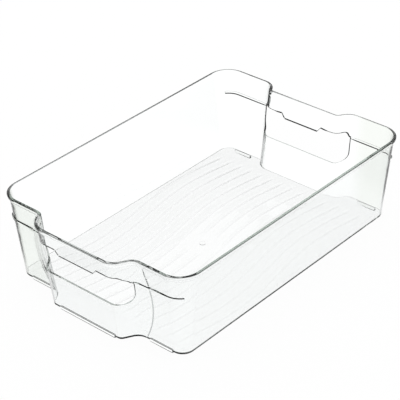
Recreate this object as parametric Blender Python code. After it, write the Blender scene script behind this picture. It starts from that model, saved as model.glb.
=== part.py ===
"""Fridge organizer bin: a clear, open storage bin with a moulded handle at each end.

The real bin is one injection moulding, so the model is one closed solid. Its wall and floor are
a single loft: every level of the wall, outside and inside, is the same rounded plan outline moved
in or out by the draft, the wall thickness or the lip. Handle slots are cut through the two bays,
and ledges, feet, floor ribs and the gate mark are welded on.

Units are metres and +Z is up. The bin stands on its feet at Z = 0, its length runs along Y and
its front bay, the one that stands proud of the end wall, faces -Y.

Run it with: blender --background --python part.py
"""

import math
from dataclasses import dataclass

import bmesh
import bpy
from mathutils import Matrix, Vector

# Body. Lengths and radii of the wall are those of its outer face at the rim.
RIM_LENGTH = 0.320          # end wall to end wall
RIM_WIDTH = 0.2245          # long side to long side
WALL_HEIGHT = 0.089         # underside of the floor to the top of the rim
DRAFT_INSET = 0.0091        # how far in the foot of each wall stands from its rim
WALL = 0.002                # thickness of every wall
FLOOR = 0.002               # thickness of the floor
CORNER_RADIUS = 0.021
BOTTOM_EDGE_RADIUS = 0.001
FLOOR_FILLET_RADIUS = 0.0025

# Rim lip.
LIP_REACH = 0.0018          # how far it stands out of the wall
LIP_DEPTH = 0.0032
LIP_ROUNDING = 0.0007

# Front bay: the middle of the front wall, pushed out past it.
FRONT_REACH_RIM = 0.0184    # how far it stands out at the rim
FRONT_REACH_FOOT = 0.0166   # and at the floor
FRONT_SHOULDER = 0.05495    # long side to where the flank leaves the end wall
FRONT_FLANK = math.radians(60)
FRONT_NOSE_RADIUS = 0.0014  # between the bay's face and its flank, inside, on the floor
FRONT_ROOT_RADIUS_RIM = 0.009   # between the flank and the cheek
FRONT_ROOT_RADIUS_FOOT = 0.012
CHEEK_ANGLE = math.radians(8)
CHEEK_WIDTH_RIM = 0.0052    # flank's root to the crease where the cheek meets the end wall
CHEEK_WIDTH_FOOT = 0.0027
CHEEK_BULGE = 0.0125        # how much farther out the crease runs at mid height

# Back bay: the middle of the back wall, pushed in by less.
BACK_DEPTH = 0.0123
BACK_SHOULDER = 0.06235     # long side to where the flank leaves the end wall
BACK_FLANK = math.radians(58)
BACK_ROOT_RADIUS = 0.0014   # between the end wall and the flank, inside, on the floor
BACK_PANEL_RADIUS = 0.006   # between the flank and the bay's face

# Handle slots. A drop is measured down from the rim. The bar over each slot has a middle tab and,
# each side of it, a finger notch that comes down to a short level land at the slot's end.
NOTCH_DROP = 0.018
TAB_DROP = 0.023
TAB_SHARE = 0.385           # the tab's length over the slot's
TAB_SLOPE = 0.004           # run of the slope from the tab up into a notch
SLOT_EASE_RADIUS = 0.0013   # rounding at both ends of that slope
LAND_RADIUS = 0.0006        # rounding where a slot's end turns into its land
CUT_CLEARANCE = 0.006       # how far each slot cutter runs past the wall
FRONT_SLOT_HEIGHT = 0.0314  # top of the notches to the bottom of the slot
FRONT_SLOT_INSET = 0.0020   # flank's root to the slot's end, towards the middle
FRONT_SLOT_RADIUS = 0.010   # of its two lower corners
FRONT_NOTCH_INSET = 0.0078  # slot's end to where the notch starts to come down
FRONT_NOTCH_RADIUS = 0.004
FRONT_LAND_WIDTH = 0.0023
FRONT_LAND_DROP = 0.0247
BACK_SLOT_HEIGHT = 0.0330
BACK_SLOT_OVERHANG = 0.0036  # flank's root to the slot's end, away from the middle
BACK_SLOT_RADIUS = 0.011
BACK_NOTCH_INSET = 0.0035
BACK_NOTCH_RADIUS = 0.003
BACK_LAND_WIDTH = 0.0010
BACK_LAND_DROP = 0.0225

# Stacking ledges round the four corners.
LEDGE_DROP = 0.0235         # rim to the top of the ledges
LEDGE_HEIGHT = 0.0031
LEDGE_REACH = 0.0013
LEDGE_START_SHARE = 0.1     # of the way from the bay's rounding to where it has its full height
LEDGE_WRAP_SHARE = 0.56     # how much of the corner's turn a ledge follows
LEDGE_FADE_SHARE = 0.3      # its height and reach at the end nearest the bay
BACK_LEDGE_FADE = 0.0121    # flank's root to where a back ledge has its full height

# Feet: low bars under the edge of the floor.
FOOT_HEIGHT = 0.003
FOOT_THICKNESS = 0.003
FOOT_SETBACK = 0.0005       # from the outer face of the wall's foot
FRONT_FOOT_LENGTH = 0.028
FRONT_FOOT_INSET = 0.02325  # long side at the rim to the foot's near end
BACK_FOOT_LENGTH = 0.0215
BACK_FOOT_INSET = 0.02175
BAY_FOOT_INSET = 0.0223     # flank's root to the near end of the foot under the front bay

# Floor ribs: shallow waves that run lengthwise, and the gate mark.
RIB_PITCH = 0.0136
RIB_SHIFT = -0.0023         # of the whole pattern, sideways
RIB_ROOT_WIDTH = 0.0055     # inside the floor, a little more than shows
RIB_HEIGHT = 0.0008
RIB_SIDE_GAP = 0.0002       # least gap between a rib and the foot of the long wall
RIB_FRONT_GAP = 0.0174      # end wall at the rim to the ribs' ends
RIB_BACK_GAP = 0.0274
RIB_FADE = 0.010            # over which each end sinks into the floor
WAVE_LENGTH = 0.250
WAVE_SWING = 0.007
GATE_RADIUS = 0.0032
GATE_HEIGHT = 0.0004
GATE_Y = -0.008

# Fineness of the mesh.
CORNER_STEPS = 8
BAY_STEPS = 6
SLOT_STEPS = 5
EDGE_STEPS = 2
WALL_LEVELS = 7
RIB_STATIONS = 16
RIB_SIDES = 6
ROUND_STEPS = 6
SHARP_ANGLE = math.radians(28)

# The middle of the bounding box lies on the Z axis, so the bin moves back by half the front bay.
CENTRING = FRONT_REACH_RIM / 2


@dataclass(frozen=True)
class Corner:
    """A corner of a flat outline: where its two sides meet, and how it is rounded."""

    across: float
    up: float
    radius: float = 0.0
    steps: int = 0


@dataclass(frozen=True)
class Slot:
    """The sizes in which the two handle slots differ, from the centre line and the floor."""

    end: float
    bottom: float
    corner_radius: float
    notch_end: float
    notch_radius: float
    land_start: float
    land_level: float


def rounded(corners, grow=0.0):
    """Return the outline through the corners, counter-clockwise, as one point list per corner.

    Each side is first moved outwards by grow. Outer roundings grow with it, inner ones shrink.
    """
    groups = []
    for index, corner in enumerate(corners):
        here = Vector((corner.across, corner.up))
        before, after = corners[index - 1], corners[(index + 1) % len(corners)]
        arriving = (here - Vector((before.across, before.up))).normalized()
        leaving = (Vector((after.across, after.up)) - here).normalized()
        normal_in = Vector((arriving.y, -arriving.x))
        normal_out = Vector((leaving.y, -leaving.x))
        here = here + (normal_in + normal_out) * (grow / (1.0 + normal_in.dot(normal_out)))
        if not corner.steps:
            groups.append([here])
            continue
        turn = math.atan2(arriving.cross(leaving), arriving.dot(leaving))
        side = math.copysign(1.0, turn)
        radius = corner.radius + side * grow
        start = here - arriving * (radius * math.tan(abs(turn) / 2.0))
        centre = start - normal_in * (side * radius)
        groups.append([centre + rotated(start - centre, turn * step / corner.steps)
                       for step in range(corner.steps + 1)])
    return groups


def rotated(vector, angle):
    """Return a flat vector turned counter-clockwise."""
    cosine, sine = math.cos(angle), math.sin(angle)
    return Vector((cosine * vector.x - sine * vector.y, sine * vector.x + cosine * vector.y))


def blend(start, end, share):
    """Return the value that lies share of the way from start to end."""
    return start + (end - start) * share


def mirrored(corners):
    """Return a right half, listed counter-clockwise, followed by its mirror image."""
    return corners + [Corner(-c.across, c.up, c.radius, c.steps) for c in reversed(corners)]


def front_root():
    """Return the distance from the centre line to the root of the front bay's flank."""
    return RIM_WIDTH / 2 - FRONT_SHOULDER


def back_root():
    """Return the distance from the centre line to the root of the back bay's flank."""
    return RIM_WIDTH / 2 - BACK_SHOULDER


def rim_radius(inside):
    """Return the outer radius at the rim of a bend that has a given radius inside, on the floor."""
    return inside + FLOOR_FILLET_RADIUS + WALL + DRAFT_INSET


def front_bay(level):
    """Return the corners of the front bay's right half, from its face out to the crease.

    The cheek is a flat strip at a small angle to the end wall. The crease between the two is
    a bow, farthest out at mid height, so the flank's root opens like a shallow scoop.
    """
    end_wall = -RIM_LENGTH / 2
    reach = blend(FRONT_REACH_FOOT, FRONT_REACH_RIM, level)
    width = blend(CHEEK_WIDTH_FOOT, CHEEK_WIDTH_RIM, level) + CHEEK_BULGE * 4 * level * (1 - level)
    lean = 1 / math.tan(FRONT_FLANK)
    cheek = math.tan(CHEEK_ANGLE)
    root_depth = width * cheek / (1 - lean * cheek)
    root_radius = blend(FRONT_ROOT_RADIUS_FOOT - DRAFT_INSET, FRONT_ROOT_RADIUS_RIM, level)
    return [Corner(front_root() - reach * lean, end_wall - reach, rim_radius(FRONT_NOSE_RADIUS),
                   BAY_STEPS),
            Corner(front_root() - root_depth * lean, end_wall - root_depth, root_radius, BAY_STEPS),
            Corner(front_root() + width, end_wall)]


def back_bay():
    """Return the corners of the back bay's right half, from the end wall in to its panel."""
    end_wall = RIM_LENGTH / 2
    return [Corner(back_root(), end_wall, rim_radius(BACK_ROOT_RADIUS), BAY_STEPS),
            Corner(back_root() - BACK_DEPTH / math.tan(BACK_FLANK), end_wall - BACK_DEPTH,
                   BACK_PANEL_RADIUS, BAY_STEPS)]


def plan(height, offset):
    """Return the wall's plan outline at a height, moved out by an offset, grouped by corner."""
    level = height / WALL_HEIGHT
    side, end = RIM_WIDTH / 2, RIM_LENGTH / 2
    right_half = front_bay(level) + [Corner(side, -end, CORNER_RADIUS, CORNER_STEPS),
                                     Corner(side, end, CORNER_RADIUS, CORNER_STEPS)] + back_bay()
    return rounded(mirrored(right_half), offset - DRAFT_INSET * (1 - level))


def quarter(steps):
    """Return the sines and cosines of equal steps round a quarter turn."""
    angles = [math.pi / 2 * step / steps for step in range(steps + 1)]
    return [(math.sin(angle), math.cos(angle)) for angle in angles]


def wall_section():
    """Return the wall's section as (height, offset) pairs, from under the floor round to its top."""
    section = [(BOTTOM_EDGE_RADIUS * (1 - cosine), BOTTOM_EDGE_RADIUS * (sine - 1))
               for sine, cosine in quarter(EDGE_STEPS)]
    lip_foot = WALL_HEIGHT - LIP_DEPTH
    section += [(blend(BOTTOM_EDGE_RADIUS, lip_foot, level / WALL_LEVELS), 0)
                for level in range(1, WALL_LEVELS + 1)]
    section += [(lip_foot + LIP_ROUNDING * (1 - cosine), LIP_REACH + LIP_ROUNDING * (sine - 1))
                for sine, cosine in quarter(EDGE_STEPS)]
    section += [(WALL_HEIGHT + LIP_ROUNDING * (sine - 1), LIP_REACH + LIP_ROUNDING * (cosine - 1))
                for sine, cosine in quarter(EDGE_STEPS)]
    section += [(WALL_HEIGHT + LIP_ROUNDING * (cosine - 1), LIP_ROUNDING * (1 - sine) - WALL)
                for sine, cosine in quarter(EDGE_STEPS)]
    inner_foot = FLOOR + FLOOR_FILLET_RADIUS
    section += [(blend(WALL_HEIGHT - LIP_ROUNDING, inner_foot, level / WALL_LEVELS), -WALL)
                for level in range(1, WALL_LEVELS)]
    section += [(inner_foot - FLOOR_FILLET_RADIUS * sine,
                 FLOOR_FILLET_RADIUS * (cosine - 1) - WALL)
                for sine, cosine in quarter(EDGE_STEPS)]
    return section


def placed(x, y, height):
    """Return a point of the bin, given above the underside of its floor, in world axes."""
    return Vector((x, y + CENTRING, height + FOOT_HEIGHT))


def loft(mesh, rings):
    """Add a closed solid that runs through equal rings of points."""
    loops = [[mesh.verts.new(point) for point in ring] for ring in rings]
    for lower, upper in zip(loops, loops[1:]):
        for index in range(len(lower)):
            mesh.faces.new((lower[index - 1], lower[index], upper[index], upper[index - 1]))
    mesh.faces.new(reversed(loops[0]))
    mesh.faces.new(loops[-1])


def extrude(mesh, outline, run):
    """Add a closed solid: a flat outline, carried along the vector run."""
    face = mesh.faces.new([mesh.verts.new(point) for point in outline])
    swept = bmesh.ops.extrude_face_region(mesh, geom=[face], use_keep_orig=True)
    moved = [part for part in swept["geom"] if isinstance(part, bmesh.types.BMVert)]
    bmesh.ops.translate(mesh, verts=moved, vec=run)


def shell():
    """Return the floor and wall: each level of the section, carried once round the plan."""
    mesh = bmesh.new()
    loft(mesh, [[placed(p.x, p.y, height) for group in plan(height, offset) for p in group]
                for height, offset in wall_section()])
    return mesh


def front_slot():
    """Return the sizes of the slot in the front bay."""
    end = front_root() - FRONT_SLOT_INSET
    return Slot(end, WALL_HEIGHT - NOTCH_DROP - FRONT_SLOT_HEIGHT, FRONT_SLOT_RADIUS,
                end - FRONT_NOTCH_INSET, FRONT_NOTCH_RADIUS, end - FRONT_LAND_WIDTH,
                WALL_HEIGHT - FRONT_LAND_DROP)


def back_slot():
    """Return the sizes of the slot in the back bay."""
    end = back_root() + BACK_SLOT_OVERHANG
    return Slot(end, WALL_HEIGHT - NOTCH_DROP - BACK_SLOT_HEIGHT, BACK_SLOT_RADIUS,
                end - BACK_NOTCH_INSET, BACK_NOTCH_RADIUS, end - BACK_LAND_WIDTH,
                WALL_HEIGHT - BACK_LAND_DROP)


def slot_outline(slot):
    """Return the outline of a handle slot, as seen along Y."""
    notch_top, tab_edge = WALL_HEIGHT - NOTCH_DROP, WALL_HEIGHT - TAB_DROP
    tab_end = slot.end * TAB_SHARE
    right_half = [
        Corner(slot.end, slot.bottom, slot.corner_radius, 2 * SLOT_STEPS),
        Corner(slot.end, slot.land_level, LAND_RADIUS, SLOT_STEPS),
        Corner(slot.land_start, slot.land_level),
        Corner(slot.notch_end, notch_top, slot.notch_radius, SLOT_STEPS),
        Corner(tab_end + TAB_SLOPE, notch_top, SLOT_EASE_RADIUS, SLOT_STEPS),
        Corner(tab_end, tab_edge, SLOT_EASE_RADIUS, SLOT_STEPS),
    ]
    return [point for group in rounded(mirrored(right_half)) for point in group]


def handle_slots():
    """Return the cutters of the two handle slots, each clear of its bay's wall at both ends."""
    front_face = -RIM_LENGTH / 2 - FRONT_REACH_RIM - LIP_REACH
    end_inside = RIM_LENGTH / 2 - DRAFT_INSET - WALL
    mesh = bmesh.new()
    for slot, start, end in (
            (front_slot(), front_face - CUT_CLEARANCE, CUT_CLEARANCE - end_inside),
            (back_slot(), end_inside - BACK_DEPTH - CUT_CLEARANCE,
             RIM_LENGTH / 2 + CUT_CLEARANCE)):
        extrude(mesh, [placed(p.x, start, p.y) for p in slot_outline(slot)],
                Vector((0, end - start, 0)))
    return mesh


def ledge_path(end, height, offset):
    """Return a right-hand ledge's route, from beside the bay to part of the way round the corner."""
    _, root, crease, front_corner, back_corner, inner_root = plan(height, offset)[:6]
    if end < 0:
        edge, full_from, arc = root[-1], crease[0], front_corner
    else:
        edge, arc = inner_root[0], back_corner[::-1]
        full_from = Vector((back_root() + BACK_LEDGE_FADE, edge.y))
    part_step, whole_steps = math.modf(LEDGE_WRAP_SHARE * CORNER_STEPS)
    last = int(whole_steps)
    return [edge.lerp(full_from, LEDGE_START_SHARE), full_from, *arc[:last + 1],
            arc[last].lerp(arc[last + 1], part_step)]


def ledge_section(share):
    """Return the (height, offset) corners of a ledge's section, at a share of its full size."""
    top, reach = WALL_HEIGHT - LEDGE_DROP, LEDGE_REACH * share
    bottom = top - LEDGE_HEIGHT * share
    return (bottom, -WALL / 2), (bottom, reach), (top, reach), (top, -WALL / 2)


def stacking_ledges():
    """Return the four ledges. Each grows out of the wall on its first stretch."""
    mesh = bmesh.new()
    for end in (-1, 1):
        faded, full = ([(height, ledge_path(end, height, offset)) for height, offset in section]
                       for section in (ledge_section(LEDGE_FADE_SHARE), ledge_section(1)))
        for hand in (-1, 1):
            loft(mesh, [[placed(hand * path[station].x, path[station].y, height)
                         for height, path in (full if station else faded)]
                        for station in range(len(full[0][1]))])
    return mesh


def foot(mesh, start, end, y):
    """Add a foot: a bar along X with round ends, sunk into the floor above it."""
    radius = FOOT_THICKNESS / 2
    half_turn = [math.pi * (step / ROUND_STEPS - 1 / 2) for step in range(ROUND_STEPS + 1)]
    right_end = [(end - radius + radius * math.cos(a), y + radius * math.sin(a)) for a in half_turn]
    left_end = [(start + radius - radius * math.cos(a), y - radius * math.sin(a)) for a in half_turn]
    extrude(mesh, [placed(px, py, -FOOT_HEIGHT) for px, py in right_end + left_end],
            Vector((0, 0, FOOT_HEIGHT + FLOOR / 2)))


def feet():
    """Return the five feet: two under each end wall and one under the front bay."""
    end_row = RIM_LENGTH / 2 - DRAFT_INSET - FOOT_SETBACK - FOOT_THICKNESS / 2
    mesh = bmesh.new()
    for inset, length, y in ((FRONT_FOOT_INSET, FRONT_FOOT_LENGTH, -end_row),
                             (BACK_FOOT_INSET, BACK_FOOT_LENGTH, end_row)):
        far_end = RIM_WIDTH / 2 - inset
        foot(mesh, far_end - length, far_end, y)
        foot(mesh, -far_end, length - far_end, y)
    bay_end = front_root() - BAY_FOOT_INSET
    foot(mesh, -bay_end, bay_end, -end_row - FRONT_REACH_FOOT)
    return mesh


def rib_count():
    """Return how many ribs fit across the floor."""
    side = RIM_WIDTH / 2 - DRAFT_INSET - WALL - RIB_SIDE_GAP
    outermost = side - WAVE_SWING - abs(RIB_SHIFT) - RIB_ROOT_WIDTH / 2
    return 1 + math.floor(2 * outermost / RIB_PITCH)


def rib_rings(number):
    """Return the rings of one floor rib: an arch rooted in the floor, on a wave along Y."""
    middle = RIB_SHIFT + RIB_PITCH * (number - (rib_count() - 1) / 2)
    front_end, back_end = RIB_FRONT_GAP - RIM_LENGTH / 2, RIM_LENGTH / 2 - RIB_BACK_GAP
    level_run = [blend(front_end + RIB_FADE, back_end - RIB_FADE, station / RIB_STATIONS)
                 for station in range(RIB_STATIONS + 1)]
    crowns = [(y, FLOOR + RIB_HEIGHT) for y in level_run]
    root = FLOOR / 4
    turns = [math.pi * side / RIB_SIDES for side in range(RIB_SIDES + 1)]
    rings = []
    for y, crown in [(front_end, FLOOR / 2), *crowns, (back_end, FLOOR / 2)]:
        x = middle - WAVE_SWING * math.sin(2 * math.pi * y / WAVE_LENGTH)
        rings.append([placed(x + RIB_ROOT_WIDTH / 2 * math.cos(turn), y,
                             blend(root, crown, math.sin(turn))) for turn in turns])
    return rings


def floor_ribs():
    """Return the wavy ribs on the floor."""
    mesh = bmesh.new()
    for number in range(rib_count()):
        loft(mesh, rib_rings(number))
    return mesh


def gate_mark():
    """Return the low round mark that the injection gate leaves on the floor."""
    mesh = bmesh.new()
    depth = FLOOR / 2 + GATE_HEIGHT
    bmesh.ops.create_cone(mesh, cap_ends=True, segments=2 * ROUND_STEPS, radius1=GATE_RADIUS,
                          radius2=GATE_RADIUS, depth=depth,
                          matrix=Matrix.Translation(placed(0, GATE_Y, (FLOOR + depth) / 2)))
    return mesh


def clear_plastic():
    """Return the material of the whole bin: clear, glossy styrene with a faint cool cast."""
    material = bpy.data.materials.new("clear_plastic")
    material.use_nodes = True
    shader = material.node_tree.nodes["Principled BSDF"]
    shader.inputs["Base Color"].default_value = (0.93, 0.96, 0.97, 1)
    shader.inputs["Roughness"].default_value = 0.06
    shader.inputs["Metallic"].default_value = 0
    shader.inputs["IOR"].default_value = 1.57
    shader.inputs["Transmission Weight"].default_value = 1
    return material


def new_collection(name):
    """Return a new collection, linked to the scene."""
    collection = bpy.data.collections.new(name)
    bpy.context.scene.collection.children.link(collection)
    return collection


def solid(name, mesh, collection, material):
    """Return a new object that holds a bmesh's solids, with their faces pointing out."""
    bmesh.ops.recalc_face_normals(mesh, faces=mesh.faces)
    data = bpy.data.meshes.new(name)
    mesh.to_mesh(data)
    mesh.free()
    data.materials.append(material)
    created = bpy.data.objects.new(name, data)
    collection.objects.link(created)
    return created


def combine(body, steps):
    """Join each tool to the body or cut it out, in turn, and give the body the finished mesh."""
    for tool, operation in steps:
        modifier = body.modifiers.new(tool.name, "BOOLEAN")
        modifier.operation = operation
        modifier.solver = "EXACT"
        modifier.object = tool
        tool.hide_render = True
        tool.display_type = "WIRE"
    bpy.context.view_layer.update()
    evaluated = body.evaluated_get(bpy.context.evaluated_depsgraph_get())
    finished = bpy.data.meshes.new_from_object(evaluated)
    body.modifiers.clear()
    rough = body.data
    body.data = finished
    bpy.data.meshes.remove(rough)
    finished.name = body.name


def build():
    """Model the bin."""
    for leftover in list(bpy.data.objects):
        bpy.data.objects.remove(leftover, do_unlink=True)
    product = new_collection("fridge_organizer")
    tools = new_collection("moulding_tools")
    plastic = clear_plastic()

    body = solid("bin", shell(), product, plastic)
    combine(body, [
        (solid("handle_slots", handle_slots(), tools, plastic), "DIFFERENCE"),
        (solid("stacking_ledges", stacking_ledges(), tools, plastic), "UNION"),
        (solid("feet", feet(), tools, plastic), "UNION"),
        (solid("floor_ribs", floor_ribs(), tools, plastic), "UNION"),
        (solid("gate_mark", gate_mark(), tools, plastic), "UNION"),
    ])
    body.data.shade_smooth()
    body.data.set_sharp_from_angle(angle=SHARP_ANGLE)


build()
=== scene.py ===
"""Clear fridge organizer bin, modelled finely and dressed in clear plastic.

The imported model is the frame. One finer moulding stands for its only node: the same wall, bays,
handle slots, ledges, feet and floor ribs, with smooth roundings. Units are metres and +Z is up.
"""

import logging
import math
from dataclasses import dataclass
from enum import Enum
from typing import Any, Optional, Union

import bmesh
import bpy
from mathutils import Matrix, Vector


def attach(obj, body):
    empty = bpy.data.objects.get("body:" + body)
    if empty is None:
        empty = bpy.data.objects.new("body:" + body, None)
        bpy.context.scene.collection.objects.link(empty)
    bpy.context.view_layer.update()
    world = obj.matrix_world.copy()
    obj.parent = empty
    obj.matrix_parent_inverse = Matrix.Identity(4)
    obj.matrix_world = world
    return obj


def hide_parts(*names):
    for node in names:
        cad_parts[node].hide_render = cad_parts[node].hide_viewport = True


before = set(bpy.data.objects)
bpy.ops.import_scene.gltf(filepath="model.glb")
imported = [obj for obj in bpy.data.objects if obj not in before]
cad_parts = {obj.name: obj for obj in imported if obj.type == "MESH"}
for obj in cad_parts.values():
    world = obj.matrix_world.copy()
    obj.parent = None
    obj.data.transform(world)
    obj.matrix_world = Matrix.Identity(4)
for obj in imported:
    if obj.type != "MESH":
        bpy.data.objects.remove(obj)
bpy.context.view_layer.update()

LOG = logging.getLogger("fridge_organizer")
NODE = "bin"
BODY = "root"
WHITE = (1, 1, 1, 1)

Number = Union[float, int]
Span = tuple[float, float]
Colour = tuple[float, float, float, float]
Ring = list[Vector]


class End(Enum):
    """The two ends of the bin, as the sign of their Y."""

    FRONT = -1
    BACK = 1


def blend(start: Number, end: Number, share: float) -> float:
    """Return the value that lies share of the way from start to end."""
    return start + (end - start) * share


def eased(share: float) -> float:
    """Return a share, held between 0 and 1, with a smooth start and end."""
    held = min(max(share, 0.0), 1.0)
    return held * held * (3 - 2 * held)


def rotated(vector: Vector, angle: float) -> Vector:
    """Return a flat vector turned counter-clockwise by an angle."""
    cosine, sine = math.cos(angle), math.sin(angle)
    return Vector((cosine * vector.x - sine * vector.y, sine * vector.x + cosine * vector.y))


def quarter(steps: int) -> list[Span]:
    """Return the sines and cosines of equal steps round a quarter turn."""
    angles = [math.pi / 2 * step / steps for step in range(steps + 1)]
    return [(math.sin(angle), math.cos(angle)) for angle in angles]


@dataclass(frozen=True)
class Corner:
    """A corner of a flat outline: where its two sides would meet, and how it is rounded."""

    across: float
    up: float
    radius: float = 0.0
    steps: int = 0

    @property
    def place(self) -> Vector:
        """Where the two sides meet."""
        return Vector((self.across, self.up))

    def mirrored(self) -> "Corner":
        """Return the same corner on the other side of the centre line."""
        return Corner(-self.across, self.up, self.radius, self.steps)


def mirrored(corners: list[Corner]) -> list[Corner]:
    """Return a right half, listed counter-clockwise, followed by its mirror image."""
    return corners + [corner.mirrored() for corner in reversed(corners)]


def rounded(corners: list[Corner], grow: float = 0.0) -> list[Ring]:
    """Round an outline's corners.

    Args:
        corners: The outline's corners, counter-clockwise.
        grow: How far each side is first moved outwards. Outer roundings grow with it.

    Returns:
        One list of points per corner.
    """
    groups = []
    for index, corner in enumerate(corners):
        here = corner.place
        arriving = (here - corners[index - 1].place).normalized()
        leaving = (corners[(index + 1) % len(corners)].place - here).normalized()
        normal_in = Vector((arriving.y, -arriving.x))
        normal_out = Vector((leaving.y, -leaving.x))
        here = here + (normal_in + normal_out) * (grow / (1.0 + normal_in.dot(normal_out)))
        if not corner.steps:
            groups.append([here])
            continue
        turn = math.atan2(arriving.cross(leaving), arriving.dot(leaving))
        side = math.copysign(1.0, turn)
        radius = corner.radius + side * grow
        start = here - arriving * (radius * math.tan(abs(turn) / 2.0))
        centre = start - normal_in * (side * radius)
        groups.append([centre + rotated(start - centre, turn * step / corner.steps)
                       for step in range(corner.steps + 1)])
    return groups


class Blank:
    """A mesh in the making, of closed solids."""

    def __init__(self) -> None:
        """Start an empty mesh."""
        self.mesh = bmesh.new()

    def enclose(self, faces: list[bmesh.types.BMFace]) -> None:
        """Cut a closed solid's faces into triangles and turn them outwards.

        Args:
            faces: Its faces, which all point out or all point in.
        """
        cut = bmesh.ops.triangulate(self.mesh, faces=faces)["faces"]
        volume = sum(one.co.dot(other.co.cross(third.co))
                     for one, other, third in (face.verts for face in cut))
        if volume < 0:
            bmesh.ops.reverse_faces(self.mesh, faces=cut)

    def loft(self, rings: list[Ring]) -> None:
        """Add a closed solid that runs through equal rings of points.

        Args:
            rings: The rings, each with as many points as the others.
        """
        loops = [[self.mesh.verts.new(point) for point in ring] for ring in rings]
        faces = [self.mesh.faces.new((lower[index - 1], lower[index], upper[index],
                                      upper[index - 1]))
                 for lower, upper in zip(loops, loops[1:]) for index in range(len(lower))]
        self.enclose(faces + [self.mesh.faces.new(reversed(loops[0])),
                              self.mesh.faces.new(loops[-1])])

    def released(self, name: str) -> bpy.types.Object:
        """Turn the mesh into an object.

        Args:
            name: The name of the object.

        Returns:
            The object, linked to the scene.
        """
        data = bpy.data.meshes.new(name)
        self.mesh.to_mesh(data)
        self.mesh.free()
        created = bpy.data.objects.new(name, data)
        bpy.context.scene.collection.objects.link(created)
        return created


@dataclass(frozen=True)
class FrontBay:
    """The middle of the front wall, pushed out past it, with a cheek at each side."""

    reach_rim: float = 0.0184
    reach_foot: float = 0.0166
    shoulder: float = 0.05495
    flank: float = math.radians(60)
    nose_radius: float = 0.015
    root_radius_rim: float = 0.009
    root_radius_foot: float = 0.012
    cheek_angle: float = math.radians(8)
    cheek_width_rim: float = 0.0052
    cheek_width_foot: float = 0.0027
    cheek_bulge: float = 0.0125
    crease_width: float = 0.0001
    crease_step: float = 0.0012
    crease_corner: int = 2
    steps: int = 16

    def corners(self, level: float, end_wall: float, root: float, draft: float) -> list[Corner]:
        """Return the right half of the bay's outline, from its face out to the cheek's crease.

        Args:
            level: The height as a share of the wall's.
            end_wall: Y of the end wall at the rim.
            root: Distance from the centre line to the flank's root.
            draft: How far in the foot of the wall stands from its rim.

        Returns:
            The corners of the face, the flank's root and the two edges of the crease.
        """
        reach = blend(self.reach_foot, self.reach_rim, level)
        width = (blend(self.cheek_width_foot, self.cheek_width_rim, level)
                 + self.cheek_bulge * 4 * level * (1 - level))
        lean = 1 / math.tan(self.flank)
        cheek = math.tan(self.cheek_angle)
        depth = width * cheek / (1 - lean * cheek)
        radius = blend(self.root_radius_foot - draft, self.root_radius_rim, level)
        crease = root + width
        return [Corner(root - reach * lean, end_wall - reach, self.nose_radius, self.steps),
                Corner(root - depth * lean, end_wall - depth, radius, self.steps),
                Corner(crease - self.crease_width, end_wall - self.crease_width * cheek),
                Corner(crease, end_wall)]


@dataclass(frozen=True)
class BackBay:
    """The middle of the back wall, pushed in by less than the front bay stands out."""

    depth: float = 0.0123
    shoulder: float = 0.06235
    flank: float = math.radians(58)
    root_radius: float = 0.0151
    panel_radius: float = 0.006
    steps: int = 16

    def corners(self, end_wall: float, root: float) -> list[Corner]:
        """Return the right half of the bay's outline, from the end wall in to its panel.

        Args:
            end_wall: Y of the end wall at the rim.
            root: Distance from the centre line to the flank's root.

        Returns:
            The corners of the flank's root and the panel.
        """
        return [Corner(root, end_wall, self.root_radius, self.steps),
                Corner(root - self.depth / math.tan(self.flank), end_wall - self.depth,
                       self.panel_radius, self.steps)]


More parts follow.
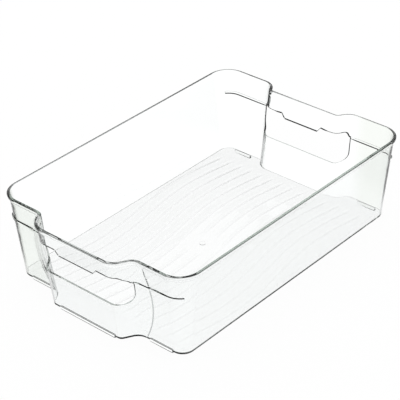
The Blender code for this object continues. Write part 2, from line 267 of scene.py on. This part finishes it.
@dataclass(frozen=True)
class Wall:
    """The floor and the wall with its rim lip: one section, carried once round the plan."""

    front_bay: FrontBay = FrontBay()
    back_bay: BackBay = BackBay()
    length: float = 0.320
    width: float = 0.2245
    height: float = 0.089
    draft: float = 0.0091
    thickness: float = 0.0016
    floor: float = 0.0014
    corner_radius: float = 0.021
    bottom_edge: float = 0.0003
    fillet: float = 0.0005
    lip_reach: float = 0.001795
    lip_depth: float = 0.0061
    lip_side: float = 0.0018
    lip_rounding: float = 0.0007
    flare_steps: int = 8
    foot_height: float = 0.003
    corner_steps: int = 24
    edge_steps: int = 5
    levels: int = 16

    @property
    def front_root(self) -> float:
        """Distance from the centre line to the root of the front bay's flank."""
        return self.width / 2 - self.front_bay.shoulder

    @property
    def back_root(self) -> float:
        """Distance from the centre line to the root of the back bay's flank."""
        return self.width / 2 - self.back_bay.shoulder

    @property
    def inner_end(self) -> float:
        """Distance from the middle to the end wall's inner face at the floor."""
        return self.length / 2 - self.draft - self.thickness

    def placed(self, x: float, y: float, height: float) -> Vector:
        """Return a point, given above the underside of the floor, in the frame's axes."""
        return Vector((x, y + self.front_bay.reach_rim / 2, height + self.foot_height))

    def plan(self, height: float, offset: float) -> list[Ring]:
        """Return the wall's plan outline, grouped by corner.

        Args:
            height: Height above the underside of the floor.
            offset: How far the outline is moved out of the wall's outer face.

        Returns:
            One list of points per corner, counter-clockwise from the right of the front bay.
        """
        level = height / self.height
        side, end = self.width / 2, self.length / 2
        bay = self.front_bay
        right_half = bay.corners(level, -end, self.front_root, self.draft) + [
            Corner(side, -end, self.corner_radius, self.corner_steps),
            Corner(side, end, self.corner_radius, self.corner_steps),
        ] + self.back_bay.corners(end, self.back_root)
        groups = rounded(mirrored(right_half), offset - self.draft * (1 - level))
        # On the outer face, from above its bottom edge up to the lip, the crease is a small step.
        if offset == 0 and self.bottom_edge < height < self.height - self.lip_depth:
            for crease in (groups[bay.crease_corner], groups[-1 - bay.crease_corner]):
                crease[0].y -= bay.crease_step
        return groups

    def face(self, end: End, x: float, height: float) -> Span:
        """Find the outer face of an end of the bin.

        Args:
            end: The end.
            x: X of the place that is looked at.
            height: Height above the underside of the floor.

        Returns:
            Y of the face there, and how square it stands to Y, which is 1 where it faces along Y.
        """
        points = [point for group in self.plan(height, 0) for point in group]
        found = []
        for one, other in zip(points, points[1:] + points[:1]):
            if one.x != other.x and min(one.x, other.x) <= x <= max(one.x, other.x):
                y = blend(one.y, other.y, (x - one.x) / (other.x - one.x))
                found.append((y, abs(one.x - other.x) / (one - other).length))
        return max(found, key=lambda crossing: end.value * crossing[0])

    def section(self) -> list[Span]:
        """Draw the section through the floor's edge, the wall and the lip.

        Returns:
            Its (height, offset) pairs, from under the floor round to the floor's top.
        """
        turn = quarter(self.edge_steps)
        edge, lip = self.bottom_edge, self.lip_rounding
        lip_foot, inner_foot = self.height - self.lip_depth, self.floor + self.fillet
        outside = [(blend(edge, lip_foot, step / self.levels), 0.0)
                   for step in range(1, self.levels + 1)]
        shares = [step / self.flare_steps for step in range(1, self.flare_steps + 1)]
        flare = [(blend(lip_foot, self.height - self.lip_side, share),
                  self.lip_reach * eased(share)) for share in shares]
        inside = [(blend(self.height - lip, inner_foot, step / self.levels), -self.thickness)
                  for step in range(1, self.levels)]
        return [
            *[(edge * (1 - cosine), edge * (sine - 1)) for sine, cosine in turn],
            *outside,
            *flare,
            *[(self.height + lip * (sine - 1), self.lip_reach + lip * (cosine - 1))
              for sine, cosine in turn],
            *[(self.height + lip * (cosine - 1), lip * (1 - sine) - self.thickness)
              for sine, cosine in turn],
            *inside,
            *[(inner_foot - self.fillet * sine, self.fillet * (cosine - 1) - self.thickness)
              for sine, cosine in turn],
        ]

    def solid(self) -> bpy.types.Object:
        """Build the floor and the wall.

        Returns:
            One closed solid.
        """
        blank = Blank()
        blank.loft([[self.placed(p.x, p.y, height)
                     for group in self.plan(height, offset) for p in group]
                    for height, offset in self.section()])
        return blank.released("bin_moulding")


@dataclass(frozen=True)
class HandleSlot:
    """A handle slot through a bay, with a tab and two finger notches in the bar over it.

    Its edges slope across the wall, in metres of height per metre along Y.
    """

    end: End
    height: float
    root_inset: float
    corner_radius: float
    notch_inset: float
    notch_radius: float
    land_width: float
    land_drop: float
    sill_slope: float
    bar_slope: float
    flank_share: float
    notch_drop: float = 0.018
    tab_drop: float = 0.023
    tab_share: float = 0.385
    tab_slope: float = 0.004
    ease_radius: float = 0.0013
    land_radius: float = 0.0006
    slope_run: float = 0.003
    turn_gain: float = 4.0
    clearance: float = 0.006
    steps: int = 12

    def outline(self, wall: Wall) -> Ring:
        """Draw the slot's outline as seen along Y.

        Args:
            wall: The wall that it cuts.

        Returns:
            The outline's points, each an X and a height above the underside of the floor.
        """
        root = wall.front_root if self.end is End.FRONT else wall.back_root
        slot_end = root - self.root_inset
        notch_top, tab_edge = wall.height - self.notch_drop, wall.height - self.tab_drop
        land, tab_end = wall.height - self.land_drop, slot_end * self.tab_share
        right_half = [
            Corner(slot_end, notch_top - self.height, self.corner_radius, 2 * self.steps),
            Corner(slot_end, land, self.land_radius, self.steps),
            Corner(slot_end - self.land_width, land),
            Corner(slot_end - self.notch_inset, notch_top, self.notch_radius, self.steps),
            Corner(tab_end + self.tab_slope, notch_top, self.ease_radius, self.steps),
            Corner(tab_end, tab_edge, self.ease_radius, self.steps),
        ]
        return [point for group in rounded(mirrored(right_half)) for point in group]

    def ring(self, wall: Wall, run: float, plane: Optional[float] = None) -> Ring:
        """Return one outline of the cutter.

        Args:
            wall: The wall that it cuts.
            run: How far along Y it is from the wall's outer face, which sets its slope.
            plane: The Y that all of it is moved to, or None to leave it beside the face.

        Returns:
            The outline's points in the frame's axes.
        """
        ring = []
        for point in self.outline(wall):
            share = (point.y - self.height) / (wall.height - self.tab_drop - self.height)
            face, square = wall.face(self.end, point.x, point.y)
            slope = blend(self.sill_slope, self.bar_slope, min(share, 1))
            squareness = self.turn_gain * square - (self.turn_gain - 1)
            rise = run * slope * max(squareness, self.flank_share)
            ring.append(wall.placed(point.x, face + run if plane is None else plane,
                                    point.y + rise))
        return ring

    def cut(self, blank: Blank, wall: Wall) -> None:
        """Add the slot's cutter, clear of its bay's wall at both ends.

        Args:
            blank: The mesh that holds the cutters.
            wall: The wall that it cuts.
        """
        if self.end is End.FRONT:
            start = -wall.length / 2 - wall.front_bay.reach_rim - self.clearance
            stop = self.clearance - wall.inner_end
        else:
            start = wall.inner_end - wall.back_bay.depth - self.clearance
            stop = wall.length / 2 + self.clearance
        blank.loft([self.ring(wall, -self.slope_run, start), self.ring(wall, -self.slope_run),
                    self.ring(wall, self.slope_run), self.ring(wall, self.slope_run, stop)])


@dataclass(frozen=True)
class StackingLedges:
    """The small ledges round the four corners, which another bin stands over."""

    drop: float = 0.0235
    height: float = 0.0031
    reach: float = 0.0013
    top_slope: float = 0.0005
    under_slope: float = 0.0008
    sink: float = 0.0002
    wrap_share: float = 0.56
    fade_share: float = 0.3
    back_start: int = 8

    def route(self, wall: Wall, end: End, height: float, offset: float) -> tuple[Ring, int]:
        """Return a right-hand ledge's route, from the slot's end part of the way round a corner.

        Args:
            wall: The wall that carries the ledge.
            end: The end of the bin that it is at.
            height: Height above the underside of the floor.
            offset: How far the route is moved out of the wall's outer face.

        Returns:
            The route's points, and over how many of them the ledge grows.
        """
        _, root, *_, front_corner, back_corner, inner_root = wall.plan(height, offset)[:7]
        if end is End.FRONT:
            start, arc = root, front_corner
        else:
            start, arc = inner_root[::-1][self.back_start:], back_corner[::-1]
        part_step, whole_steps = math.modf(self.wrap_share * wall.corner_steps)
        last = int(whole_steps)
        return [*start, *arc[:last + 1], arc[last].lerp(arc[last + 1], part_step)], len(start)

    def section(self, wall: Wall, share: float) -> list[Span]:
        """Draw the ledge's section.

        Args:
            wall: The wall that carries the ledge.
            share: Its size, as a share of its full size.

        Returns:
            The section's (height, offset) points.
        """
        middle, half = wall.height - self.drop - self.height / 2, self.height / 2 * share
        reach, root = self.reach * share, -wall.thickness / 2
        low, top = middle - half, middle + half
        return [(low, root), (low, -self.sink), (low + self.under_slope * share, reach),
                (top - self.top_slope * share, reach), (top, -self.sink), (top, root)]

    def ring(self, wall: Wall, end: End, hand: int, station: int, growth: int) -> Ring:
        """Place the ledge's section at one point of its route.

        Args:
            wall: The wall that carries the ledge.
            end: The end of the bin that it is at.
            hand: 1 for a right-hand ledge, or -1 for its mirror image.
            station: The number of the point.
            growth: Over how many points the ledge grows.

        Returns:
            The section's points in the frame's axes.
        """
        share = blend(self.fade_share, 1, min(station / growth, 1))
        corners = [(height, self.route(wall, end, height, offset)[0][station])
                   for height, offset in self.section(wall, share)]
        return [wall.placed(hand * point.x, point.y, height) for height, point in corners]

    def solid(self, wall: Wall) -> bpy.types.Object:
        """Build the four ledges. Each grows out of the wall on its way from the slot.

        Args:
            wall: The wall that carries them.

        Returns:
            The ledges as one object.
        """
        blank = Blank()
        for end in End:
            points, growth = self.route(wall, end, wall.height - self.drop, 0)
            for hand in (-1, 1):
                blank.loft([self.ring(wall, end, hand, station, growth)
                            for station in range(len(points))])
        return blank.released("stacking_ledges")


@dataclass(frozen=True)
class Feet:
    """Low bars with round ends under the edge of the floor."""

    thickness: float = 0.003
    edge_radius: float = 0.0011
    edge_steps: int = 5
    setback: float = 0.0006
    front_length: float = 0.028
    front_inset: float = 0.02325
    back_length: float = 0.0215
    back_inset: float = 0.02175
    bay_inset: float = 0.0223
    steps: int = 12

    def bar(self, blank: Blank, wall: Wall, start: float, end: float, y: float) -> None:
        """Add one foot, a bar along X that is sunk into the floor above it.

        Args:
            blank: The mesh that holds the feet.
            wall: The wall that they carry.
            start: X of its near end.
            end: X of its far end.
            y: Y of its middle line.
        """
        turns = [math.pi * (step / self.steps - 1 / 2) for step in range(self.steps + 1)]
        middle, edge = self.thickness / 2, self.edge_radius
        levels = [(edge * (1 - cosine) - wall.foot_height, middle + edge * (sine - 1))
                  for sine, cosine in quarter(self.edge_steps)] + [(wall.floor / 2, middle)]
        rings = []
        for height, radius in levels:
            right = [(end - middle + radius * math.cos(a), y + radius * math.sin(a))
                     for a in turns]
            left = [(start + middle - radius * math.cos(a), y - radius * math.sin(a))
                    for a in turns]
            rings.append([wall.placed(px, py, height) for px, py in right + left])
        blank.loft(rings)

    def solid(self, wall: Wall) -> bpy.types.Object:
        """Build the five feet: two under each end wall and one under the front bay.

        Args:
            wall: The wall that they carry.

        Returns:
            The feet as one object.
        """
        blank = Blank()
        row = wall.length / 2 - wall.draft - self.setback - self.thickness / 2
        for inset, length, y in ((self.front_inset, self.front_length, -row),
                                 (self.back_inset, self.back_length, row)):
            far_end = wall.width / 2 - inset
            self.bar(blank, wall, far_end - length, far_end, y)
            self.bar(blank, wall, -far_end, length - far_end, y)
        bay_end = wall.front_root - self.bay_inset
        self.bar(blank, wall, -bay_end, bay_end, -row - wall.front_bay.reach_foot)
        return blank.released("feet")


@dataclass(frozen=True)
class FloorRibs:
    """Shallow, soft ribs on the floor that run lengthwise in a long wave."""

    pitch: float = 0.0136
    shift: float = -0.0023
    half_width: float = 0.0034
    height: float = 0.00055
    count: int = 14
    front_gap: float = 0.0174
    back_gap: float = 0.0274
    side_gap: float = 0.0044
    fade: float = 0.010
    wave_length: float = 0.250
    wave_swing: float = 0.007
    gate_y: float = -0.008
    gate_clear: float = 0.008
    gate_fade: float = 0.022
    base: float = 0.00004
    columns: int = 188
    rows: int = 92

    def crown(self, x: float, y: float, front: float, back: float) -> float:
        """Work out how high the ribs stand at a point.

        Args:
            x: X of the point.
            y: Y of the point.
            front: Y at which the ribs start.
            back: Y at which they end.

        Returns:
            The height over the plain floor.
        """
        across = x + self.wave_swing * math.sin(2 * math.pi * y / self.wave_length) - self.shift
        number = across / self.pitch + (self.count - 1) / 2
        nearest = min(max(round(number), 0), self.count - 1)
        beside = abs(number - nearest) * self.pitch / self.half_width
        ends = min((y - front) / self.fade, (back - y) / self.fade, 1)
        gate = (math.hypot(x, y - self.gate_y) - self.gate_clear) / self.gate_fade
        swell = math.cos(math.pi / 2 * min(beside, 1)) ** 2
        return self.height * swell * eased(ends) * eased(gate)

    def solid(self, wall: Wall) -> bpy.types.Object:
        """Build the ribbed top of the floor: a thin slab, rooted in the floor.

        Args:
            wall: The wall and floor that carry it.

        Returns:
            The slab.
        """
        front, back = self.front_gap - wall.length / 2, wall.length / 2 - self.back_gap
        side = wall.width / 2 - wall.draft - wall.thickness - self.side_gap
        xs = [blend(-side, side, column / self.columns) for column in range(self.columns + 1)]
        blank = Blank()
        grid = []
        for row in range(self.rows + 1):
            y = blend(front, back, row / self.rows)
            grid.append([blank.mesh.verts.new(wall.placed(
                x, y, wall.floor + self.base + self.crown(x, y, front, back))) for x in xs])
        for near, far in zip(grid, grid[1:]):
            for column in range(self.columns):
                blank.mesh.faces.new((near[column], near[column + 1], far[column + 1],
                                      far[column]))
        rim = (grid[0] + [row[-1] for row in grid[1:]] + grid[-1][-2::-1]
               + [row[0] for row in grid[-2:0:-1]])
        root = [blank.mesh.verts.new(point.co - Vector((0, 0, wall.floor / 2))) for point in rim]
        for index in range(len(rim)):
            blank.mesh.faces.new((rim[index - 1], root[index - 1], root[index], rim[index]))
        blank.mesh.faces.new(reversed(root))
        blank.enclose(blank.mesh.faces[:])
        return blank.released("floor_ribs")


@dataclass(frozen=True)
class GateMark:
    """The low round mark that the injection gate leaves on the floor."""

    radius: float = 0.0032
    height: float = 0.0004
    y: float = -0.008
    segments: int = 40

    def solid(self, wall: Wall) -> bpy.types.Object:
        """Build the mark as a flat disc, rooted in the floor.

        Args:
            wall: The wall and floor that carry it.

        Returns:
            The disc.
        """
        blank = Blank()
        depth = wall.floor / 2 + self.height
        middle = wall.placed(0, self.y, (wall.floor + depth) / 2)
        bmesh.ops.create_cone(blank.mesh, cap_ends=True, segments=self.segments,
                              radius1=self.radius, radius2=self.radius, depth=depth,
                              matrix=Matrix.Translation(middle))
        return blank.released("gate_mark")


Source = Union["Signal", Number, tuple, str, bool]


class Signal:
    """One output of a shader node. Sums on it add Math nodes."""

    def __init__(self, graph: "Graph", socket: bpy.types.NodeSocket) -> None:
        """Wrap an output socket of a graph."""
        self.graph = graph
        self.socket = socket

    def maths(self, operation: str, first: Source, second: Source) -> "Signal":
        """Return the result of a Math node on two values."""
        return self.graph.node("ShaderNodeMath", {"operation": operation},
                               {0: first, 1: second}, 0)

    def __add__(self, other: Source) -> "Signal":
        """Return self + other."""
        return self.maths("ADD", self, other)

    __radd__ = __add__

    def __sub__(self, other: Source) -> "Signal":
        """Return self - other."""
        return self.maths("SUBTRACT", self, other)

    def __rsub__(self, other: Source) -> "Signal":
        """Return other - self."""
        return self.maths("SUBTRACT", other, self)

    def __mul__(self, other: Source) -> "Signal":
        """Return self * other."""
        return self.maths("MULTIPLY", self, other)

    __rmul__ = __mul__

    def size(self) -> "Signal":
        """Return the value without its sign."""
        return self.graph.node("ShaderNodeMath", {"operation": "ABSOLUTE"}, {0: self})

    def either(self, other: Source) -> "Signal":
        """Return the larger of the two."""
        return self.maths("MAXIMUM", self, other)

    def at_most(self, other: Source) -> "Signal":
        """Return the smaller of the two."""
        return self.maths("MINIMUM", self, other)


class Graph:
    """The node tree of a material or a world, emptied for a new network."""

    def __init__(self, owner: Union[bpy.types.Material, bpy.types.World]) -> None:
        """Take over the node tree of an owner."""
        owner.use_nodes = True
        self.tree = owner.node_tree
        self.tree.nodes.clear()

    def node(self, kind: str, settings: dict[str, Any], sockets: dict[Union[int, str], Source],
             output: Union[int, str] = 0) -> Signal:
        """Add a node.

        Args:
            kind: The node's type.
            settings: Attributes of the node, set before its sockets are.
            sockets: A value or a signal for each input that isn't left as it is.
            output: Which of its outputs is wanted.

        Returns:
            That output.
        """
        made = self.tree.nodes.new(kind)
        for name, value in settings.items():
            setattr(made, name, value)
        for key, value in sockets.items():
            if isinstance(value, Signal):
                self.tree.links.new(value.socket, made.inputs[key])
            else:
                made.inputs[key].default_value = value
        return Signal(self, made.outputs[output] if made.outputs else made.inputs[0])

    def eased(self, value: Source, start: float, end: float, low: float = 0.0,
              high: float = 1.0) -> Signal:
        """Return a smooth step in a value.

        Args:
            value: What is measured.
            start: Where the step starts.
            end: Where it ends.
            low: The result before the step.
            high: The result after it.

        Returns:
            The stepped value.
        """
        return self.node("ShaderNodeMapRange", {"interpolation_type": "SMOOTHSTEP"}, {
            "Value": value, "From Min": start, "From Max": end, "To Min": low, "To Max": high})

    def axis(self, vector: Signal, name: str) -> Signal:
        """Return one axis of a vector."""
        return self.node("ShaderNodeSeparateXYZ", {}, {0: vector}, name)

    def light_path(self, ray: str) -> Signal:
        """Return 1 for the rays of one kind, such as Is Camera Ray."""
        return self.node("ShaderNodeLightPath", {}, {}, ray)

    def seen(self) -> Signal:
        """Return 1 for rays that show a background: to the camera, mirrored or through glass."""
        return self.light_path("Is Camera Ray").either(
            self.light_path("Is Glossy Ray").either(self.light_path("Is Transmission Ray")))

    def mirrored_inside(self) -> Signal:
        """Return 1 for light that was mirrored on its way through clear plastic, or 0."""
        return (self.light_path("Glossy Depth") * self.light_path("Transmission Depth")).at_most(1)


@dataclass(frozen=True)
class ClearPlastic:
    """Clear, glossy moulded styrene, with faint flow lines, ripple and handling haze.

    Painted shade: the colour is a little darker towards two opposite corners, past ends_along from
    the middle and where the distances along and across multiply to more than ends_diagonal.
    """

    tint: Colour = (0.992, 0.998, 1.0, 1)
    tint_aged: Colour = (0.988, 0.996, 0.993, 1)
    # Painted shade: the darker colour put on two opposite end corners.
    painted_shade_ends: Colour = (0.920, 0.942, 0.910, 1)
    ends_along: Span = (0.146, 0.152)
    ends_diagonal: Span = (0.0080, 0.0115)
    shine_tint: Colour = (0.0, 0.0, 0.0, 1)
    depth_colour: Colour = (0.73, 0.88, 0.77, 1)
    depth_density: float = 8.0
    ior: float = 1.57
    roughness: float = 0.015
    haze: float = 0.05
    lamp_share: Colour = (0.93, 0.94, 0.94, 1)
    ripple_scale: float = 14.0
    ripple_detail: float = 1.0
    ripple_height: float = 6.0
    grain_scale: float = 420.0
    grain_detail: float = 3.0
    grain_height: float = 0.02
    flow_rings: float = 900.0
    flow_wander: float = 24.0
    flow_height: float = 0.04
    bump_distance: float = 0.0001
    bump_strength: float = 0.2

    def material(self, gate: Vector, middle: float) -> bpy.types.Material:
        """Mix the plastic.

        Args:
            gate: Where the plastic was injected, from which the flow lines spread.
            middle: Y halfway between the end walls.

        Returns:
            The material.
        """
        made = bpy.data.materials.new("clear_moulded_plastic")
        graph = Graph(made)
        place = graph.node("ShaderNodeTexCoord", {}, {}, "Object")
        ripple = graph.node("ShaderNodeTexNoise", {}, {
            "Vector": place, "Scale": self.ripple_scale, "Detail": self.ripple_detail})
        grain = graph.node("ShaderNodeTexNoise", {}, {
            "Vector": place, "Scale": self.grain_scale, "Detail": self.grain_detail})
        reach = graph.node("ShaderNodeVectorMath", {"operation": "DISTANCE"},
                           {0: place, 1: tuple(gate)}, "Value")
        rings = graph.node("ShaderNodeMath", {"operation": "SINE"},
                           {0: reach * self.flow_rings + ripple * self.flow_wander})
        clear = graph.node("ShaderNodeMix", {"data_type": "RGBA"},
                           {"Factor": ripple, 6: self.tint, 7: self.tint_aged}, 2)
        along = graph.axis(place, "Y") - middle
        # Painted shade: the mask of the two opposite end corners that are coloured darker.
        ends = (graph.eased(along.size(), *self.ends_along)
                * graph.eased(along * graph.axis(place, "X"), *self.ends_diagonal))
        # The base colour takes the painted shade towards those corners.
        tint = graph.node("ShaderNodeMix", {"data_type": "RGBA"},
                          {"Factor": ends, 6: clear, 7: self.painted_shade_ends}, 2)
        height = (ripple * self.ripple_height + rings * self.flow_height
                  + grain * self.grain_height)
        bump = graph.node("ShaderNodeBump", {}, {
            "Height": height, "Distance": self.bump_distance, "Strength": self.bump_strength})
        shader = graph.node("ShaderNodeBsdfPrincipled", {}, {
            "Base Color": tint, "Roughness": grain * self.haze + self.roughness, "Normal": bump,
            "IOR": self.ior, "Transmission Weight": 1.0, "Specular Tint": self.shine_tint})
        film = graph.node("ShaderNodeBsdfTransparent", {}, {"Color": self.lamp_share})
        surface = graph.node("ShaderNodeMixShader", {}, {
            0: graph.light_path("Is Shadow Ray"), 1: shader, 2: film})
        inside = graph.node("ShaderNodeVolumeAbsorption", {}, {
            "Color": self.depth_colour, "Density": self.depth_density})
        graph.node("ShaderNodeOutputMaterial", {}, {"Surface": surface, "Volume": inside})
        return made


@dataclass(frozen=True)
class Bin:
    """The whole bin: one moulding."""

    wall: Wall = Wall()
    slots: tuple[HandleSlot, ...] = (
        HandleSlot(end=End.FRONT, height=0.0314, root_inset=0.0020, corner_radius=0.013,
                   notch_inset=0.0078, notch_radius=0.004, land_width=0.0023, land_drop=0.0247,
                   sill_slope=0.36, bar_slope=0.6, flank_share=-1.0),
        HandleSlot(end=End.BACK, height=0.0330, root_inset=-0.0036, corner_radius=0.011,
                   notch_inset=0.0035, notch_radius=0.003, land_width=0.0010, land_drop=0.0225,
                   sill_slope=-0.36, bar_slope=0.5, flank_share=0.0),
    )
    ledges: StackingLedges = StackingLedges()
    feet: Feet = Feet()
    ribs: FloorRibs = FloorRibs()
    gate: GateMark = GateMark()
    finish: ClearPlastic = ClearPlastic()
    sharp_angle: float = math.radians(22)
    weld: float = 0.000002

    def cutters(self) -> bpy.types.Object:
        """Make the cutters of both handle slots.

        Returns:
            The cutters as one object.
        """
        blank = Blank()
        for handle_slot in self.slots:
            handle_slot.cut(blank, self.wall)
        return blank.released("handle_slots")

    def combined(self) -> bpy.types.Object:
        """Make the wall with its slots cut and everything else joined on.

        Returns:
            The moulding as one object.
        """
        body = self.wall.solid()
        tools = {self.ledges.solid(self.wall): "UNION", self.cutters(): "DIFFERENCE"}
        for part in (self.feet, self.ribs, self.gate):
            tools[part.solid(self.wall)] = "UNION"
        self.join(body, tools)
        return body

    def join(self, body: bpy.types.Object, tools: dict[bpy.types.Object, str]) -> None:
        """Join tools to a body or cut them out of it, then weld the points that all but touch.

        Args:
            body: The object whose mesh is changed.
            tools: The tools, each with its Boolean operation. They are used up.
        """
        for tool, operation in tools.items():
            modifier = body.modifiers.new(tool.name, "BOOLEAN")
            modifier.operation = operation
            modifier.solver = "EXACT"
            modifier.object = tool
        bpy.context.view_layer.update()
        evaluated = body.evaluated_get(bpy.context.evaluated_depsgraph_get())
        finished = bpy.data.meshes.new_from_object(evaluated)
        body.modifiers.clear()
        rough = body.data
        body.data = finished
        bpy.data.meshes.remove(rough)
        for tool in tools:
            bpy.data.meshes.remove(tool.data)
        mesh = bmesh.new()
        mesh.from_mesh(finished)
        bmesh.ops.remove_doubles(mesh, verts=mesh.verts, dist=self.weld)
        bmesh.ops.dissolve_degenerate(mesh, edges=mesh.edges, dist=self.weld)
        mesh.to_mesh(finished)
        mesh.free()

    def build(self) -> bpy.types.Object:
        """Build and dress the bin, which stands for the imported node.

        Returns:
            The finished bin.
        """
        body = self.combined()
        body.data.shade_smooth()
        body.data.set_sharp_from_angle(angle=self.sharp_angle)
        weighted = body.modifiers.new("even_shading", "WEIGHTED_NORMAL")
        weighted.keep_sharp = True
        gate = self.wall.placed(0, self.gate.y, self.wall.floor)
        body.data.materials.clear()
        body.data.materials.append(self.finish.material(gate, self.wall.placed(0, 0, 0).y))
        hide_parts(NODE)
        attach(body, BODY)
        return body


@dataclass(frozen=True)
class Studio:
    """The pale floor, the soft light and the camera.

    The floor and the room look white, also straight through clear plastic. Light that was mirrored
    inside the plastic finds them darker, which draws its edges as dark lines.
    """

    floor_size: float = 6.0
    floor_colour: Colour = (0.93, 0.93, 0.93, 1)
    floor_white: float = 0.95
    sky_light: float = 0.9
    sky_rise: Span = (0.45, 1.0)
    sky_top: float = 0.6
    mirrored_rise: Span = (0.30, 0.50)
    mirrored_low: float = 0.55
    through: float = 1.025
    table_through: float = 1.05
    table_left: Span = (-0.15, -0.105)
    table_end: Span = (0.17, 0.21)
    table_mirrored: float = 0.66
    azimuth: float = math.radians(41.8825)
    elevation: float = math.radians(32.4234)
    roll: float = math.radians(-1.42)
    camera_place: tuple[float, float, float] = (0.82231, -0.91802, 0.83741)
    focal_pixels: float = 1540.97
    image_pixels: int = 400
    sensor: float = 36.0
    clip: Span = (0.05, 20.0)
    lamp_place: tuple[float, float, float] = (-0.6, 0.5, 1.4)
    lamp_size: float = 1.2
    lamp_power: float = 6.0
    bounces: int = 32
    glossy_bounces: int = 16

    def floor(self) -> bpy.types.Object:
        """Make the floor: white to whatever looks at it, with a faint shadow kept.

        Returns:
            The floor.
        """
        mesh = bmesh.new()
        bmesh.ops.create_grid(mesh, x_segments=1, y_segments=1, size=self.floor_size / 2)
        data = bpy.data.meshes.new("floor")
        mesh.to_mesh(data)
        mesh.free()
        made = bpy.data.objects.new("floor", data)
        bpy.context.scene.collection.objects.link(made)
        material = bpy.data.materials.new("pale_floor")
        graph = Graph(material)
        matt = graph.node("ShaderNodeBsdfDiffuse", {}, {"Color": self.floor_colour})
        place = graph.node("ShaderNodeNewGeometry", {}, {}, "Position")
        across, along = graph.axis(place, "X"), graph.axis(place, "Y")
        table = (graph.eased(across, *self.table_left)
                 * graph.eased(along.size(), *self.table_end, 1.0, 0.0))
        loss = graph.mirrored_inside() * (1 - table * self.table_mirrored)
        bright = 1 + (self.table_through - 1) * graph.light_path("Is Transmission Ray")
        glow = graph.node("ShaderNodeEmission", {}, {"Color": WHITE,
                                                     "Strength": bright * (1 - loss)})
        surface = graph.node("ShaderNodeMixShader", {}, {
            0: graph.seen() * self.floor_white, 1: matt, 2: glow})
        graph.node("ShaderNodeOutputMaterial", {}, {"Surface": surface})
        data.materials.append(material)
        return made

    def sky(self) -> None:
        """Set up the world: a white room whose upper part is dimmer."""
        world = bpy.data.worlds.new("white_room")
        bpy.context.scene.world = world
        graph = Graph(world)
        way = graph.node("ShaderNodeTexCoord", {}, {}, "Generated")
        height = graph.axis(way, "Z")
        room = graph.eased(height, *self.sky_rise, 1.0, self.sky_top)
        mirrored = graph.eased(height, *self.mirrored_rise, self.mirrored_low, 0.0)
        camera, seen = graph.light_path("Is Camera Ray"), graph.seen()
        kept = 1 - graph.mirrored_inside() * (1 - mirrored)
        strength = (camera + (seen - camera) * room * kept * self.through
                    + (1 - seen) * self.sky_light)
        light = graph.node("ShaderNodeBackground", {}, {"Color": WHITE, "Strength": strength})
        graph.node("ShaderNodeOutputWorld", {}, {"Surface": light})

    def lamp(self) -> bpy.types.Object:
        """Hang up a soft square lamp that faces the middle of the bin.

        Returns:
            The lamp.
        """
        data = bpy.data.lights.new("soft_box", "AREA")
        data.size, data.energy = self.lamp_size, self.lamp_power
        made = bpy.data.objects.new("soft_box", data)
        place = Vector(self.lamp_place)
        made.location = place
        made.rotation_euler = (-place).to_track_quat("-Z", "Y").to_euler()
        made.visible_glossy = made.visible_transmission = False
        bpy.context.scene.collection.objects.link(made)
        return made

    def camera(self) -> bpy.types.Object:
        """Set up the camera at the photograph's angle.

        Returns:
            The camera.
        """
        data = bpy.data.cameras.new("camera")
        data.sensor_width = self.sensor
        data.lens = self.focal_pixels * self.sensor / self.image_pixels
        data.clip_start, data.clip_end = self.clip
        az, el = self.azimuth, self.elevation
        back = Vector((math.sin(az) * math.cos(el), -math.cos(az) * math.cos(el), math.sin(el)))
        level = Vector((math.cos(az), math.sin(az), 0))
        raised = back.cross(level)
        cosine, sine = math.cos(self.roll), math.sin(self.roll)
        right = level * cosine + raised * sine
        up = raised * cosine - level * sine
        made = bpy.data.objects.new("camera", data)
        made.matrix_world = Matrix.Translation(self.camera_place) @ Matrix(
            (right, up, back)).transposed().to_4x4()
        bpy.context.scene.collection.objects.link(made)
        bpy.context.scene.camera = made
        return made

    def build(self) -> None:
        """Set up the floor, the light and the camera."""
        self.floor()
        self.sky()
        self.lamp()
        self.camera()
        scene = bpy.context.scene
        scene.view_settings.view_transform = "Standard"
        scene.cycles.max_bounces = self.bounces
        scene.cycles.transmission_bounces = self.bounces
        scene.cycles.transparent_max_bounces = self.bounces
        scene.cycles.glossy_bounces = self.glossy_bounces


def main() -> None:
    """Build the bin and the studio, and report the bin's faces."""
    logging.basicConfig(level=logging.INFO)
    body = Bin().build()
    LOG.info("%s: %d faces, for node %s", body.name, len(body.data.polygons), NODE)
    Studio().build()


if __name__ == "__main__":
    main()
